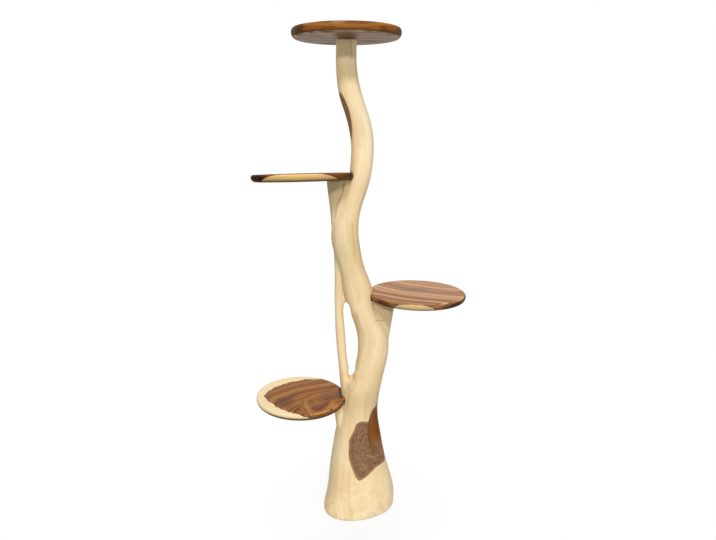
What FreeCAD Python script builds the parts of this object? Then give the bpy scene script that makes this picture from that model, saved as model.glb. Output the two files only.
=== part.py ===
import FreeCAD
import Part
import os

from FreeCAD import Placement, Rotation, Vector

# A tree shaped shelf: one carved trunk with a slit beside its left limb, and four round shelves.
# Lengths are in millimetres and angles in degrees. The origin is on the floor under the middle of
# the foot, +Z is up, the front looks towards -Y and the right side is +X.

# Trunk
trunk_height = 1477.0
foot_height = 408.0
foot_width = 228.0
foot_depth = 196.0
foot_edge_round = 9.0
bole_height = 740.0
bole_width = 97.0
bole_depth = 94.0
stem_width = 66.0
stem_depth = 62.0
trunk_sway = 50.0
trunk_bow = 12.0

# Left limb: the thin limb that leaves the foot, runs beside the slit and carries the upper left shelf
limb_root_height = 372.0
limb_width = 29.0
limb_depth = 34.0
limb_reach = 60.0
limb_rear_offset = 3.0

# Slit between the limb and the bole: its round ends, and the wood that closes it above
slit_end_width = 20.0
slit_end_length = 36.0
slit_end_right_offset = 2.0
web_length = 90.0
web_width = 30.0
web_depth = 24.0

# Hollow that lays the dark heart of the wood bare, low on the front right
heart_hollow_length = 300.0
heart_hollow_radius = 60.0
heart_hollow_height = 284.0
heart_hollow_right_offset = 92.0
heart_hollow_front_offset = 60.0
heart_hollow_lean = 6.0

# Hollow in the stem's left side, where the stem bends
bend_hollow_length = 300.0
bend_hollow_radius = 60.0
bend_hollow_depth = 5.0
bend_hollow_turn = 21.0
bend_hollow_lean = 11.0

# Shelves
top_shelf_diameter = 316.0
top_shelf_thickness = 28.0
top_shelf_tilt = 2.0
upper_left_shelf_height = 1079.0
upper_left_shelf_diameter = 299.0
upper_left_shelf_thickness = 21.0
upper_left_shelf_tilt = -2.2
upper_left_shelf_roll = -1.4
upper_left_shelf_front_offset = 25.0
right_shelf_height = 712.0
right_shelf_diameter = 303.0
right_shelf_thickness = 22.0
right_shelf_tilt = 0.8
right_shelf_roll = 1.0
right_shelf_rear_offset = 14.0
lower_left_shelf_height = 374.5
lower_left_shelf_diameter = 282.0
lower_left_shelf_thickness = 22.0
lower_left_shelf_tilt = 2.2
lower_left_shelf_roll = 1.8
lower_left_shelf_front_offset = 15.0
rim_top_run = 7.0
rim_under_run = 13.0

# Housings and seats: the notch that takes each shelf's edge, and the flat cut stub below it
housing_depth = 15.0
housing_clearance = 0.3
upper_left_seat_width = 72.0
upper_left_seat_depth = 62.0
upper_left_seat_reach = 28.0
upper_left_seat_front_offset = 6.0
right_stub_length = 190.0
right_stub_root_offset = 16.0
right_seat_width = 82.0
right_seat_depth = 64.0
right_seat_reach = 29.0
right_seat_rear_offset = 10.0
lower_left_stub_length = 190.0
lower_left_stub_root_offset = 50.0
lower_left_seat_width = 30.0
lower_left_seat_depth = 66.0
lower_left_seat_reach = 8.0
lower_left_seat_front_offset = 6.0

# Fixings: one dowel and two plugged screws for each shelf
dowel_diameter = 12.0
dowel_in_shelf = 14.0
dowel_in_trunk = 32.0
dowel_offset = 17.0
dowel_chamfer = 1.2
screw_diameter = 5.0
screw_length = 52.0
screw_point_length = 6.0
screw_head_diameter = 9.6
screw_head_height = 4.4
screw_recess_width = 1.6
screw_recess_length = 5.4
screw_recess_depth = 2.2
screw_spacing = 26.0
plug_diameter = 10.0
plug_length = 7.0
fixing_clearance = 0.15
hole_bottom_gap = 0.5

# Cuts run past the faces that they open by this much
overrun = 10.0

# Shape of the carving, as shares of the sizes above
quarter_round_share = 0.5523
rim_nose_share = 0.62
round_corner_share = 0.7071

# Heights of the slit's two ends along the limb, and of the bend's hollow along the stem
slit_low_share = 0.1245
slit_high_share = 0.453
bend_hollow_share = 0.685

# Rows from the floor up: rise, sway, bow, width, depth, corner fullness, and how much of that
# fullness moves to the front left and rear right corners
foot_shares = [
    (0.000, 0.05, 0.00, 1.004, 1.000, 0.725, 0.072),
    (0.120, 0.13, 0.00, 0.976, 0.985, 0.720, 0.055),
    (0.240, 0.12, 0.00, 0.905, 0.930, 0.715, 0.035),
    (0.380, 0.02, 0.05, 0.815, 0.850, 0.710, 0.015),
    (0.520, -0.02, 0.10, 0.725, 0.765, 0.705, 0.000),
    (0.670, -0.02, 0.15, 0.630, 0.680, 0.705, 0.000),
    (0.820, 0.02, 0.15, 0.545, 0.605, 0.710, 0.000),
]
bole_shares = [
    (0.000, 0.18, 0.10, 1.260, 1.160, 0.715, 0.000),
    (0.165, 0.56, 0.00, 1.090, 1.080, 0.715, 0.000),
    (0.290, 0.82, -0.15, 1.000, 1.030, 0.715, 0.000),
    (0.450, 0.96, -0.30, 1.000, 1.000, 0.715, 0.000),
    (0.570, 0.90, -0.45, 0.980, 0.980, 0.715, 0.000),
    (0.690, 0.65, -0.60, 0.935, 0.950, 0.715, 0.000),
    (0.870, 0.15, -0.75, 0.850, 0.910, 0.715, 0.000),
]
stem_shares = [
    (0.000, -0.01, -0.70, 1.390, 1.340, 0.715, 0.000),
    (0.090, -0.34, -0.50, 1.180, 1.300, 0.715, 0.000),
    (0.170, -0.67, -0.20, 1.260, 1.270, 0.715, 0.000),
    (0.260, -0.79, 0.30, 1.230, 1.230, 0.720, 0.000),
    (0.320, -0.62, 0.50, 1.110, 1.170, 0.725, 0.000),
    (0.380, -0.32, 0.50, 1.040, 1.110, 0.730, 0.000),
    (0.450, 0.03, 0.30, 0.990, 1.060, 0.735, 0.010),
    (0.520, 0.21, 0.00, 1.000, 1.020, 0.740, 0.020),
    (0.600, 0.26, -0.30, 1.010, 1.000, 0.745, 0.030),
    (0.680, 0.08, -0.40, 1.045, 1.000, 0.745, 0.035),
    (0.770, -0.34, -0.20, 1.035, 0.990, 0.740, 0.035),
    (0.850, -0.60, 0.20, 0.950, 0.980, 0.735, 0.020),
    (0.920, -0.68, 0.50, 0.910, 0.970, 0.725, 0.000),
    (1.000, -0.66, 0.60, 0.910, 0.970, 0.720, 0.000),
]

# Rows from the limb's root up to the shelf's seat: rise, outward reach, width, depth
limb_shares = [
    (0.000, 0.33, 2.20, 2.00),
    (0.080, 0.54, 1.70, 1.60),
    (0.135, 0.70, 1.24, 1.16),
    (0.260, 0.88, 1.02, 0.96),
    (0.370, 0.96, 0.98, 0.94),
    (0.435, 0.98, 0.95, 0.94),
    (0.485, 0.93, 1.22, 0.96),
    (0.570, 0.95, 1.05, 0.95),
    (0.680, 1.03, 0.88, 0.98),
    (0.780, 1.12, 0.92, 1.06),
]

# Rows from the limb's last row up to the seat: rise, move towards the seat, growth towards its size
limb_head_shares = [
    (0.350, 0.15, 0.20),
    (0.700, 0.50, 0.60),
    (0.920, 0.88, 0.90),
]

# Rows from a stub's root up to its seat: rise, move towards the seat, width, depth
stub_shares = [
    (0.000, 0.00, 0.72, 0.72),
    (0.300, 0.22, 0.82, 0.82),
    (0.560, 0.52, 0.90, 0.90),
    (0.800, 0.82, 0.96, 0.96),
    (1.000, 1.00, 1.00, 1.00),
]


def section(x, y, z, width, depth, corner, skew=0):
    """A closed smooth outline round (x, y) at height z, through four sides and four corners."""
    half_width = width / 2
    half_depth = depth / 2
    full = corner + skew
    slim = corner - skew
    around = [(1, 0), (full, full), (0, 1), (-slim, slim)]
    around += [(-a, -b) for a, b in around]
    points = [Vector(x + a * half_width, y + b * half_depth, z) for a, b in around]
    curve = Part.BSplineCurve()
    curve.interpolate(points, PeriodicFlag=True)
    return Part.Wire([curve.toShape()])


def loft(rows):
    return Part.makeLoft([section(*row) for row in rows], True, False)


def zone_rows(shares, low, high, width, depth):
    """Trunk rows of one zone, from its shares to sizes."""
    rows = []
    for rise, sway, bow, wide, deep, corner, skew in shares:
        z = low + rise * (high - low)
        rows.append((sway * trunk_sway, bow * trunk_bow, z, wide * width, deep * depth, corner, skew))
    return rows


def trunk_rows():
    rows = zone_rows(foot_shares, 0, foot_height, foot_width, foot_depth)
    rows += zone_rows(bole_shares, foot_height, bole_height, bole_width, bole_depth)
    rows += zone_rows(stem_shares, bole_height, trunk_height, stem_width, stem_depth)
    x, y, z, *outline = rows[-1]
    rows.append((x, y, z + overrun, *outline))
    return rows


def row_at(rows, z):
    """Centre x, centre y and width at height z, straight between the rows."""
    for low, high in zip(rows, rows[1:]):
        if z <= high[2]:
            break
    part = (z - low[2]) / (high[2] - low[2])
    return [low[i] + part * (high[i] - low[i]) for i in (0, 1, 3)]


def trunk_at(z):
    return row_at(trunk_rows(), z)


def flank(z, side):
    """The trunk's left (-1) or right (+1) edge at height z."""
    x, _, width = trunk_at(z)
    return x + side * width / 2


class Shelf:
    """Where one shelf sits. Its own frame has the seat's middle at z = 0, and is tilted and rolled."""

    def __init__(self, name, height, diameter, thickness, tilt=0, roll=0, side=0, y=0, seat_y=0, reach=0):
        self.name = name
        self.height = height
        self.radius = diameter / 2
        self.thickness = thickness
        self.side = side
        trunk_x, trunk_y, _ = trunk_at(height)
        if side:
            self.seat = Vector(flank(height, side) + side * reach, seat_y, height)
            self.offset = Vector(side * (self.radius - housing_depth - reach), y - seat_y, 0)
        else:
            self.seat = Vector(trunk_x, trunk_y, height)
            self.offset = Vector(0, 0, 0)
        turn = Rotation(Vector(0, 1, 0), roll).multiply(Rotation(Vector(1, 0, 0), tilt))
        self.place = Placement(self.seat, turn)

    def put(self, shape):
        """The shape moved from the shelf's own frame into the shelf's place."""
        moved = shape.copy()
        moved.Placement = self.place.multiply(moved.Placement)
        return moved

    def screw_points(self):
        """Front and rear screw places in the shelf's own frame."""
        return {"front": Vector(0, -screw_spacing / 2, 0), "rear": Vector(0, screw_spacing / 2, 0)}

    def dowel_point(self):
        """The dowel stands nearer to the trunk than the screws, in the thicker wood."""
        return Vector(-self.side * dowel_offset, 0, 0)


def all_shelves():
    return [
        Shelf("top_shelf", trunk_height, top_shelf_diameter, top_shelf_thickness, top_shelf_tilt),
        Shelf("upper_left_shelf", upper_left_shelf_height, upper_left_shelf_diameter,
              upper_left_shelf_thickness, upper_left_shelf_tilt, upper_left_shelf_roll, side=-1,
              y=-upper_left_shelf_front_offset, seat_y=-upper_left_seat_front_offset,
              reach=upper_left_seat_reach),
        Shelf("right_shelf", right_shelf_height, right_shelf_diameter, right_shelf_thickness,
              right_shelf_tilt, right_shelf_roll, side=1, y=right_shelf_rear_offset,
              seat_y=right_seat_rear_offset, reach=right_seat_reach),
        Shelf("lower_left_shelf", lower_left_shelf_height, lower_left_shelf_diameter,
              lower_left_shelf_thickness, lower_left_shelf_tilt, lower_left_shelf_roll, side=-1,
              y=-lower_left_shelf_front_offset, seat_y=-lower_left_seat_front_offset,
              reach=lower_left_seat_reach),
    ]


def cylinder(diameter, low, high, point):
    return Part.makeCylinder(diameter / 2, high - low, point + Vector(0, 0, low))


def quarter_round(start, corner, end):
    """A quarter round from start to end, tangent to the sides that meet at corner."""
    first = start + (corner - start) * quarter_round_share
    second = end + (corner - end) * quarter_round_share
    curve = Part.BezierCurve()
    curve.setPoles([start, first, second, end])
    return curve.toShape()


def screw_top(shelf):
    """Height of a screw head's top over the seat, under its plug."""
    return shelf.thickness - plug_length


def shelf_board(shelf):
    """A round board with a soft upper edge and a longer undercut below."""
    radius, top = shelf.radius, shelf.thickness
    nose = rim_nose_share * top
    upper_start = Vector(radius - rim_top_run, 0, top)
    nose_point = Vector(radius, 0, nose)
    under_end = Vector(radius - rim_under_run, 0, 0)
    edges = [
        Part.makeLine(Vector(0, 0, 0), Vector(0, 0, top)),
        Part.makeLine(Vector(0, 0, top), upper_start),
        quarter_round(upper_start, Vector(radius, 0, top), nose_point),
        quarter_round(nose_point, Vector(radius, 0, 0), under_end),
        Part.makeLine(under_end, Vector(0, 0, 0)),
    ]
    face = Part.Face(Part.Wire(edges))
    board = face.revolve(Vector(0, 0, 0), Vector(0, 0, 1), 360)
    board.translate(shelf.offset)
    dowel_hole = dowel_diameter + 2 * fixing_clearance
    board = board.cut(cylinder(dowel_hole, -overrun, dowel_in_shelf + hole_bottom_gap, shelf.dowel_point()))
    for point in shelf.screw_points().values():
        board = board.cut(screw_way(shelf, point))
    return board


def screw_way(shelf, point):
    """What a screw and its plug take out of a board: plug bore, head seat and shank hole."""
    head_top = screw_top(shelf)
    head_low = head_top - screw_head_height
    shank = screw_diameter + 2 * fixing_clearance
    head = screw_head_diameter + 2 * fixing_clearance
    bore = plug_diameter + 2 * fixing_clearance
    cone = Part.makeCone(shank / 2, head / 2, screw_head_height, point + Vector(0, 0, head_low))
    way = cone.fuse(cylinder(bore, head_top, shelf.thickness + overrun, point))
    return way.fuse(cylinder(shank, -overrun, head_low, point))


def screw(shelf, point):
    """A countersunk wood screw with a cross recess and a point."""
    head_top = screw_top(shelf)
    head_low = head_top - screw_head_height
    point_top = head_top - screw_length + screw_point_length
    radius = screw_diameter / 2
    body = Part.makeCone(radius, screw_head_diameter / 2, screw_head_height, point + Vector(0, 0, head_low))
    body = body.fuse(cylinder(screw_diameter, point_top, head_low, point))
    tip = Part.makeCone(0, radius, screw_point_length, point + Vector(0, 0, point_top - screw_point_length))
    body = body.fuse(tip)
    recess = (screw_recess_length, screw_recess_width)
    for length, width in [recess, recess[::-1]]:
        corner = point + Vector(-length / 2, -width / 2, head_top - screw_recess_depth)
        body = body.cut(Part.makeBox(length, width, screw_recess_depth + overrun, corner))
    return body.removeSplitter()


def plug(shelf, point):
    """A round wood plug over a screw head, flush with the board."""
    return cylinder(plug_diameter, screw_top(shelf), shelf.thickness, point)


def dowel(shelf):
    """A round dowel with chamfered ends, part in the board and part in the trunk."""
    body = cylinder(dowel_diameter, -dowel_in_trunk, dowel_in_shelf, shelf.dowel_point())
    ends = [e for e in body.Edges if e.Closed and len(e.Vertexes) == 1]
    return body.makeChamfer(dowel_chamfer, ends)


def trunk_stem():
    """The foot, bole and stem in one carved form, with a rounded edge on the floor."""
    stem = loft(trunk_rows())
    floor_edges = [e for e in stem.Edges if e.BoundBox.ZMax < foot_edge_round]
    return stem.makeFillet(foot_edge_round, floor_edges)


def limb_rows(shelf):
    """The left limb, from its root in the foot to the stub under the upper left shelf."""
    low, high = limb_root_height, shelf.height
    rows = []
    for rise, reach, width, depth in limb_shares:
        z = low + rise * (high - low)
        rows.append((-reach * limb_reach, limb_rear_offset, z, width * limb_width, depth * limb_depth,
                     round_corner_share))
    x, y, last_z, width, depth, corner = rows[-1]
    for rise, move, growth in limb_head_shares:
        rows.append((x + move * (shelf.seat.x - x), y + move * (shelf.seat.y - y),
                     last_z + rise * (high - last_z),
                     width + growth * (upper_left_seat_width - width),
                     depth + growth * (upper_left_seat_depth - depth), corner))
    rows.append((shelf.seat.x, shelf.seat.y, high + overrun, upper_left_seat_width,
                 upper_left_seat_depth, corner))
    return rows


def slit_end(shelf, share, run):
    """A slot with round ends, cut from front to back, that rounds one end of the slit."""
    low = limb_root_height + share * (shelf.height - limb_root_height)
    middles = []
    for z in (low, low + run):
        limb_x, _, limb_wide = row_at(limb_rows(shelf), z)
        x = (limb_x + limb_wide / 2 + flank(z, -1)) / 2 + slit_end_right_offset
        middles.append(Vector(x, -foot_depth / 2, z))
    first, second = middles
    through = Vector(0, foot_depth, 0)
    side = (second - first).cross(through).normalize() * (slit_end_width / 2)
    corners = [first - side, first + side, second + side, second - side, first - side]
    slot = Part.Face(Part.makePolygon(corners)).extrude(through)
    return slot.fuse([Part.makeCylinder(slit_end_width / 2, foot_depth, end, through) for end in middles])


def slit_web(shelf):
    """Wood that joins the limb to the bole above the slit's upper end."""
    low = limb_root_height + slit_high_share * (shelf.height - limb_root_height)
    rows = []
    for z in [low, low + web_length / 2, low + web_length]:
        limb_x, limb_y, _ = row_at(limb_rows(shelf), z)
        rows.append(((limb_x + flank(z, -1)) / 2, limb_y, z, web_width, web_depth, round_corner_share))
    return loft(rows)


def stub(shelf, length, root_offset, seat_width, seat_depth):
    """A stub that grows out of the trunk's side and ends under a shelf."""
    low = shelf.height - length
    high = shelf.height + overrun
    x, y, _ = trunk_at(low)
    x += shelf.side * root_offset
    rows = []
    for rise, move, width, depth in stub_shares:
        rows.append((x + move * (shelf.seat.x - x), y + move * (shelf.seat.y - y), low + rise * (high - low),
                     width * seat_width, depth * seat_depth, round_corner_share))
    return loft(rows)


def scoop(length, radius, middle, lean):
    """A slim pointed body whose side scoops a hollow out of the trunk."""
    half = length / 2
    arc = Part.Arc(Vector(0, 0, -half), Vector(radius, 0, 0), Vector(0, 0, half)).toShape()
    axis = Part.makeLine(Vector(0, 0, half), Vector(0, 0, -half))
    body = Part.Face(Part.Wire([arc, axis])).revolve(Vector(0, 0, 0), Vector(0, 0, 1), 360)
    body.Placement = Placement(middle, Rotation(Vector(0, 1, 0), -lean))
    return body


def heart_hollow():
    middle = Vector(heart_hollow_right_offset, -heart_hollow_front_offset, heart_hollow_height)
    return scoop(heart_hollow_length, heart_hollow_radius, middle, heart_hollow_lean)


def bend_hollow():
    z = bole_height + bend_hollow_share * (trunk_height - bole_height)
    x, y, width = trunk_at(z)
    outward = Rotation(Vector(0, 0, 1), bend_hollow_turn).multVec(Vector(-1, 0, 0))
    middle = Vector(x, y, z) + outward * (width / 2 + bend_hollow_radius - bend_hollow_depth)
    return scoop(bend_hollow_length, bend_hollow_radius, middle, bend_hollow_lean)


def housing(shelf):
    """The space that a shelf takes out of the trunk: its notch and everything above its seat."""
    radius = shelf.radius + housing_clearance
    return Part.makeCylinder(radius, shelf.thickness + housing_clearance, shelf.offset)


def trunk_holes(shelf):
    """Dowel hole and pilot holes in the trunk under one shelf."""
    dowel_hole = dowel_diameter + 2 * fixing_clearance
    holes = [cylinder(dowel_hole, -dowel_in_trunk - hole_bottom_gap, overrun, shelf.dowel_point())]
    pilot_low = screw_top(shelf) - screw_length - hole_bottom_gap
    pilot = screw_diameter + 2 * fixing_clearance
    holes += [cylinder(pilot, pilot_low, overrun, point) for point in shelf.screw_points().values()]
    return holes


def trunk(shelves):
    _, upper_left, right, lower_left = shelves
    right_stub = stub(right, right_stub_length, right_stub_root_offset, right_seat_width, right_seat_depth)
    lower_left_stub = stub(lower_left, lower_left_stub_length, lower_left_stub_root_offset,
                           lower_left_seat_width, lower_left_seat_depth)
    body = trunk_stem().fuse([loft(limb_rows(upper_left)), slit_web(upper_left), right_stub, lower_left_stub])
    body = body.cut([heart_hollow(), bend_hollow()])
    body = body.cut([slit_end(upper_left, slit_low_share, slit_end_length),
                     slit_end(upper_left, slit_high_share, -slit_end_length)])
    for shelf in shelves:
        body = body.cut(shelf.put(housing(shelf)))
        body = body.cut([shelf.put(hole) for hole in trunk_holes(shelf)])
    return body


def save(name, shape):
    shape = shape if shape.ShapeType == "Solid" or len(shape.Solids) > 1 else shape.Solids[0]
    shape.exportStep(os.path.join("parts", name + ".step"))
    print(name, "solids", len(shape.Solids), "valid", shape.isValid(), "volume", round(shape.Volume))


def main():
    os.makedirs("parts", exist_ok=True)
    shelves = all_shelves()
    save("trunk", trunk(shelves))
    for shelf in shelves:
        save(shelf.name, shelf.put(shelf_board(shelf)))
        save(shelf.name + "_dowel", shelf.put(dowel(shelf)))
        for place, point in shelf.screw_points().items():
            save(f"{shelf.name}_{place}_screw", shelf.put(screw(shelf, point)))
            save(f"{shelf.name}_{place}_plug", shelf.put(plug(shelf, point)))


main()
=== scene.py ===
import math
import bmesh
import bpy
from mathutils import Matrix, Vector, geometry, kdtree, noise


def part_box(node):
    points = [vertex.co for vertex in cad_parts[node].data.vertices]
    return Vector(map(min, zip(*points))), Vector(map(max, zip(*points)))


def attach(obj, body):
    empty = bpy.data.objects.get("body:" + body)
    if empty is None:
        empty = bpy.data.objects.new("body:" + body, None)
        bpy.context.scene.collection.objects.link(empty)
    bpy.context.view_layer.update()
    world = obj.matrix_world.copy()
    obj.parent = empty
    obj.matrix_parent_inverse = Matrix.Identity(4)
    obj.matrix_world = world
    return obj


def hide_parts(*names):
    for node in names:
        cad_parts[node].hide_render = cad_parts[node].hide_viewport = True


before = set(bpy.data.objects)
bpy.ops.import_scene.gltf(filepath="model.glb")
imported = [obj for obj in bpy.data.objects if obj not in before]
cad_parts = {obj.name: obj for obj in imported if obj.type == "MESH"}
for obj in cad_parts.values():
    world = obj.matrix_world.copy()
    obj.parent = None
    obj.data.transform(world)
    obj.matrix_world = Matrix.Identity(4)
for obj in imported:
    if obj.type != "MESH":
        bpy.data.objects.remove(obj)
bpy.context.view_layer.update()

scene = bpy.context.scene
mm = 0.001
noiseMean = 0.5   # middle value of a noise texture
boards = ("top_shelf", "upper_left_shelf", "right_shelf", "lower_left_shelf")
print("frame:", len(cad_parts), "CAD nodes")


def linear(hexColour):
    parts = [int(hexColour[i:i + 2], 16) / 255 for i in (1, 3, 5)]
    return [p / 12.92 if p <= 0.04045 else ((p + 0.055) / 1.055) ** 2.4 for p in parts] + [1.0]


def clamp(value):
    return min(max(value, 0.0), 1.0)


# Adds one shader node: links holds sockets or plain values by input, stops holds a ramp's colours.
# On a Mix, input 0 is the share, 2 and 3 are two values, 6 and 7 two colours, and output 2 the mixed colour.
def addNode(tree, kind, links=None, stops=None, out=0, **settings):
    node = tree.nodes.new("ShaderNode" + kind)
    for name, value in settings.items():
        setattr(node, name, value)
    for name, value in (links or {}).items():
        if isinstance(value, bpy.types.NodeSocket):
            tree.links.new(value, node.inputs[name])
        else:
            node.inputs[name].default_value = value
    if stops:
        ramp = node.color_ramp.elements
        ramp[0].position, ramp[1].position = stops[0][0], stops[-1][0]
        ramp[0].color, ramp[1].color = linear(stops[0][1]), linear(stops[-1][1])
        for place, colour in stops[1:-1]:
            ramp.new(place).color = linear(colour)
    return node if out is None else node.outputs[out]


def newMaterial(name, sockets):
    material = bpy.data.materials.new(name)
    material.use_nodes = True
    tree = material.node_tree
    tree.nodes.clear()
    shader = addNode(tree, "BsdfPrincipled", sockets, out=None)
    addNode(tree, "OutputMaterial", {"Surface": shader.outputs[0]}, out=None)
    return material, tree, shader


def wire(tree, shader, sockets):
    for name, value in sockets.items():
        tree.links.new(value, shader.inputs[name])


# Trunk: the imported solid, remeshed so that the limb and the stubs grow out of it as carved wood does.
# Lengths are in mm and angles in degrees. Boxes are x and z of one corner, then of the other.
trunkCarving = {
    "mergeGap": 0.02,         # joins the solid's loose triangles
    "holeSlack": 1.0,         # how far a hole's walls stand outside its dowel or screw
    "voxel": 2.85,
    "smoothing": 0.5,         # share of the way to the neighbours in each round
    "stepRounds": 3,          # takes out the voxel steps all over
    "cornerAngle": 17.0,      # inner corners sharper than this are eased
    "cornerRounds": ((6.0, 2), (3.5, 3)),   # reach from the corner, rounds of smoothing
    "notchRoom": 4.0,         # corners this near a board are its notch's, and stay sharp
    "crisp": ((-60, 990, -10, 1080), (45, 610, 100, 720)),   # boxes where the knife left the corners sharp
    "groove": {"box": (-90, 800, -20, 975), "reach": 16.0, "rounds": 26},   # where limb and stem meet
    "slitEnds": {"places": [(-21, 458), (-35, 694)], "reach": 24.0, "rounds": 16},   # x and z, filed round
    "toolMarks": {"depth": 0.6, "width": 38.0, "length": 130.0},   # soft waves left by the knife
    "seatRoom": 5.0,          # no tool marks this near a board
    "floorRoom": 14.0,        # nor this near the floor
    "stem": [                 # z, x and y up its middle
        (0, 4, 0), (240, -2, 1), (380, 2, 2), (480, 28, -1), (590, 46, -5), (720, 18, -6), (900, -34, 0),
        (960, -34, 5), (1060, -8, 4), (1160, 14, -2), (1260, 2, -4), (1350, -26, 0), (1480, -33, 7)],
    "limb": [(372, -34, 0), (480, -50, 2), (640, -61, 3), (800, -63, 3), (960, -72, 3), (1080, -66, -6)],
    "stemRadius": 40.0,
    "limbRadius": 15.0,
    "limbShift": 200.0,       # keeps the limb's grain from repeating the stem's
    "heartOutline": [         # degrees round the foot from the front to the right, height
        (19, 327), (6, 327), (-7, 318), (-13, 296), (-21, 275), (-25, 262), (-25, 233), (-22, 203),
        (-17, 185), (-11, 166), (-5, 148), (3, 136), (11, 141), (21, 148), (30, 158), (44, 170), (61, 171),
        (85, 172), (108, 200), (112, 300), (98, 392), (73, 373), (56, 355), (45, 337), (33, 323)],
    "heartRound": 75.0,       # radius at which those degrees are measured
    "heartZone": (90, 430),   # heights between which the heartwood can show
    "noHeart": -60.0,         # depth given to all wood outside that zone
    "hollows": {              # spindles cut from the side, their colour comes in over the heights of fade
        "scoop": {"middle": (92, -60, 284), "radius": 60, "length": 300, "lean": 6,
                  "fade": (205, 262)},
        "bend": {"middle": (-80.7, -36.7, 1244.9), "radius": 60, "length": 300, "lean": 11,
                 "fade": (1120, 1190)},
    },
    "hollowEdge": 3.0,        # width over which a hollow's colour ends
    "crack": {"depth": 0.8, "width": 2.6},   # dent along the first dark line
    "shadeAndTonePatches": [               # lighter and darker patches, painted light and shade among them: x and z, reach in x and z, amount
        # painted shade: darker down the stem's left edge at z 1272, on the limb under the upper left board at
        # z 1040 and on the stub under the right board at z 665; painted light: paler on the stem just under
        # the top board at z 1450
        (0, 1142, 200, 60, 0.16), (0, 1000, 60, 45, 0.08), (-36, 1272, 12, 32, -0.08),
        (-25, 872, 200, 60, -0.19), (20, 760, 200, 45, -0.06), (20, 470, 200, 50, -0.05),
        (5, 385, 200, 45, -0.24), (-30, 1450, 200, 35, 0.34), (-75, 1040, 45, 60, -0.16),
        (85, 665, 40, 60, -0.13), (-88, 160, 18, 90, -0.10)],
    "marks": {                # lines on the wood, some of them painted light and shade: points, width, strength
        "pale": [([(30, -67, 216), (35, -66, 211), (45, -62, 206), (54, -54, 203),
                   (62, -38, 199)], 1.8, 0.45),
                 ([(5, -72, 219), (6, -75, 203), (13, -76, 188), (25, -74, 182)], 1.8, 0.35)],
        # painted highlight: a near-white band down the stem's right side, where it faces the light
        "highlightBand": [([(22, -14, 1290), (26, -26, 1251), (32, -29, 1209), (36, -26, 1166)], 15.0, 0.5)],
        "warm": [([(-16.4, -27.4, 950), (-15.6, -28.4, 926), (-13.5, -30.3, 902), (-11, -33.3, 878),
                   (-7.5, -35.4, 857)], 3.4, 0.42),
                 ([(-6, -45, 672), (0, -22, 600), (3, -22, 551), (-3, -28, 494)], 9.0, 0.35),
                 ([(-25, -37, 431), (-29, -43, 406), (-32, -44, 380), (-33, -45, 367)], 4.0, 0.38)],
        "dark": [([(54, -42, 652), (62, -34, 650.5), (70, -25, 648), (79, -23, 646.5)], 1.5, 0.5),
                 ([(-19, -20, 1471), (-20, -20, 1457), (-19, -20, 1439), (-18, -20, 1417)], 1.6, 0.4),
                 # painted shade: a dark line where the stem meets the top board
                 ([(-60, -8, 1477), (-51, -18, 1476), (-39, -22, 1477), (-28, -22, 1475), (-17, -19, 1477),
                   (-7, -8, 1477)], 2.6, 0.7),
                 # painted shade: a dark line down the crease between the limb and the stem under the upper
                 # left board
                 ([(-40, -30, 1071), (-43, -28, 1057), (-45, -26, 1046)], 3.4, 0.5),
                 ([(-45, -26, 1046), (-50, -24, 1033), (-56, -24, 1022), (-63, -22, 1006), (-65, -20, 988),
                   (-68, -18, 970)], 3.4, 0.3)],
    },
    "markReach": 3.0,         # widths past a line's ends, where it has faded out
}


def alongLine(rows, z):
    for (lowZ, lowX, lowY), (highZ, highX, highY) in zip(rows, rows[1:]):
        if z <= highZ or highZ == rows[-1][0]:
            share = clamp((z - lowZ) / (highZ - lowZ))
            share = share * share * (3 - 2 * share)   # eases in and out
            return Vector((lowX + (highX - lowX) * share, lowY + (highY - lowY) * share, z))


def insideBox(point, box, slack):
    return all(box[0][i] - slack < point[i] < box[1][i] + slack for i in range(3))


def insideFront(point, box):   # box seen from the front, mm
    return box[0] < point.x / mm < box[2] and box[1] < point.z / mm < box[3]


def sideDistance(place, a, b):
    share = geometry.intersect_point_line(place, a, b)[1]
    return (place - a.lerp(b, clamp(share))).length


def lineDistance(points, place):
    return min(sideDistance(place, a, b) for a, b in zip(points, points[1:]))


def outlineDistance(outline, point):   # positive inside
    sides = list(zip(outline, outline[1:] + outline[:1]))
    nearest = min(sideDistance(point, a, b) for a, b in sides)
    inside = False
    for a, b in sides:
        if (a.y > point.y) != (b.y > point.y) and point.x < a.x + (b.x - a.x) * (point.y - a.y) / (b.y - a.y):
            inside = not inside
    return nearest if inside else -nearest


def smooth(bm, verts, rounds, factor):
    for i in range(rounds):
        bmesh.ops.smooth_vert(bm, verts=verts, factor=factor,
                              use_axis_x=True, use_axis_y=True, use_axis_z=True)


# Closes the fixings' holes, since they are finer than a voxel and lie under the boards
def closeHoles(bm, look):
    slack = look["holeSlack"] * mm
    walls = set()
    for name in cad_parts:
        if name.endswith(("_dowel", "_screw")):
            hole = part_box(name)
            walls.update(f for f in bm.faces if all(insideBox(v.co, hole, slack) for v in f.verts))
    bmesh.ops.delete(bm, geom=[f for f in bm.faces if f in walls], context="FACES")
    bmesh.ops.holes_fill(bm, edges=[e for e in bm.edges if e.is_boundary], sides=0)


# Finds the inner corners, apart from those of the boards' notches
def innerCorners(bm, look, seats):
    sharp = -math.radians(look["cornerAngle"])
    room = look["notchRoom"] * mm
    edges = [e for e in bm.edges if len(e.link_faces) == 2 and e.calc_face_angle_signed(0) < sharp]
    places = [v.co.copy() for e in edges for v in e.verts
              if not any(insideBox(v.co, seat, room) for seat in seats)]
    corners = kdtree.KDTree(len(places))
    for i, place in enumerate(places):
        corners.insert(place, i)
    corners.balance()
    print("trunk:", len(places), "inner corner points")
    return corners


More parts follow.
